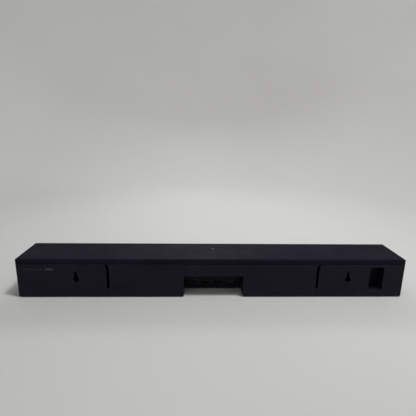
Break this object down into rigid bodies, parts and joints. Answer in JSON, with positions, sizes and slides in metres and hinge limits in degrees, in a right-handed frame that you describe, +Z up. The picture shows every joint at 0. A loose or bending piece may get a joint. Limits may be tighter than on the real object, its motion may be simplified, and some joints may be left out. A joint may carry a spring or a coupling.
{
  "type": "soundbar",
  "caption": "Slim box-shaped soundbar with a rear connector bay, keyholes for wall hanging, a recessed power inlet and push buttons on top.",
  "frame": {"origin": "middle of the bar, on the surface that its feet stand on", "axes": "+Z up, front towards -Y, connectors towards +Y, long way along X"},
  "size_m": [0.65, 0.0786, 0.0685],
  "materials": {
    "cover_plastic": "matte, fine grain",
    "rear_plastic": "matte, fine texture",
    "base_plastic": "matte",
    "inner_plastic": "matte",
    "grille_steel": "powder coated, perforated",
    "grille_cloth": "thin acoustic cloth",
    "rubber": "matte",
    "zinc_steel": "zinc plated",
    "basket_steel": "painted black",
    "socket_plastic": "satin",
    "shutter_plastic": "matte",
    "nickel": "nickel plated",
    "dark_nickel": "black nickel plated",
    "plate_steel": "satin black",
    "green_board": "solder mask",
    "amber_board": "phenolic board",
    "chip_resin": "matte",
    "aluminium_sink": "extruded",
    "capacitor_sleeve": "shrink sleeve",
    "yellow_tape": "tape wrapped",
    "ferrite": "matte",
    "foam": "closed-cell foam",
    "dark_window": "tinted",
    "screw_steel": "black zinc",
    "lead_jacket": "satin jacket",
    "button_plastic": "matte",
    "plunger_plastic": "satin",
    "cone_paper": "pressed paper",
    "coil_copper": "enamelled wire on a former",
    "spider_cloth": "impregnated cloth"
  },
  "bodies": {
    "cabinet": {"top_cover": "cover_plastic", "rear_panel": "rear_plastic", "bottom_panel": "base_plastic", "left_end_cap": "rear_plastic", "right_end_cap": "rear_plastic", "front_baffle": "inner_plastic", "front_grille": "grille_steel", "grille_cloth": "grille_cloth", "rubber_feet": "rubber", "keyhole_plates": "zinc_steel", "port_ducts": "inner_plastic", "power_inlet": "socket_plastic", "inlet_pins": "nickel", "connector_plate": "plate_steel", "optical_port": "socket_plastic", "hdmi_port": "dark_nickel", "usb_port": "dark_nickel", "aux_jack": "socket_plastic", "tact_switches": "socket_plastic", "button_board": "green_board", "left_basket": "basket_steel", "right_basket": "basket_steel", "left_surround": "rubber", "right_surround": "rubber", "left_spider": "spider_cloth", "right_spider": "spider_cloth", "speaker_magnets": "ferrite", "speaker_top_plates": "zinc_steel", "speaker_yokes": "zinc_steel", "speaker_gaskets": "foam", "sensor_window": "dark_window", "sensor_board": "green_board", "main_board": "green_board", "board_chips": "chip_resin", "heat_sink": "aluminium_sink", "capacitors": "capacitor_sleeve", "power_board": "amber_board", "transformer": "yellow_tape", "case_screws": "screw_steel", "speaker_screws": "screw_steel", "board_screws": "screw_steel", "power_leads": "lead_jacket", "speaker_leads": "lead_jacket"},
    "power_key": {"power_button": "button_plastic", "power_plunger": "plunger_plastic"},
    "source_key": {"source_button": "button_plastic", "source_plunger": "plunger_plastic"},
    "bluetooth_key": {"bluetooth_button": "button_plastic", "bluetooth_plunger": "plunger_plastic"},
    "volume_down_key": {"volume_down_button": "button_plastic", "volume_down_plunger": "plunger_plastic"},
    "volume_up_key": {"volume_up_button": "button_plastic", "volume_up_plunger": "plunger_plastic"},
    "left_cone_assembly": {"left_cone": "cone_paper", "left_dust_cap": "cone_paper", "left_voice_coil": "coil_copper"},
    "right_cone_assembly": {"right_cone": "cone_paper", "right_dust_cap": "cone_paper", "right_voice_coil": "coil_copper"},
    "shutter": {"optical_shutter": "shutter_plastic"}
  },
  "joints": [
    {"name": "power_press", "type": "slide", "parent": "cabinet", "child": "power_key", "axis": [0, 0, -1], "range_m": [0, 0.0006], "stiffness_N_per_m": 800},
    {"name": "source_press", "type": "slide", "parent": "cabinet", "child": "source_key", "axis": [0, 0, -1], "range_m": [0, 0.0006], "stiffness_N_per_m": 800},
    {"name": "bluetooth_press", "type": "slide", "parent": "cabinet", "child": "bluetooth_key", "axis": [0, 0, -1], "range_m": [0, 0.0006], "stiffness_N_per_m": 800},
    {"name": "volume_down_press", "type": "slide", "parent": "cabinet", "child": "volume_down_key", "axis": [0, 0, -1], "range_m": [0, 0.0006], "stiffness_N_per_m": 800},
    {"name": "volume_up_press", "type": "slide", "parent": "cabinet", "child": "volume_up_key", "axis": [0, 0, -1], "range_m": [0, 0.0006], "stiffness_N_per_m": 800},
    {"name": "left_cone_stroke", "type": "slide", "parent": "cabinet", "child": "left_cone_assembly", "axis": [0, -1, 0], "range_m": [-0.002, 0.002], "stiffness_N_per_m": 1500, "deforming": ["left_surround", "left_spider"]},
    {"name": "right_cone_stroke", "type": "slide", "parent": "cabinet", "child": "right_cone_assembly", "axis": [0, -1, 0], "range_m": [-0.002, 0.002], "stiffness_N_per_m": 1500, "deforming": ["right_surround", "right_spider"]},
    {"name": "shutter_swing", "type": "hinge", "parent": "cabinet", "child": "shutter", "pos_m": [-0.032, 0.00865, 0.0184], "axis": [-1, 0, 0], "range_deg": [0, 75], "stiffness_Nm_per_rad": 0.0004}
  ]
}
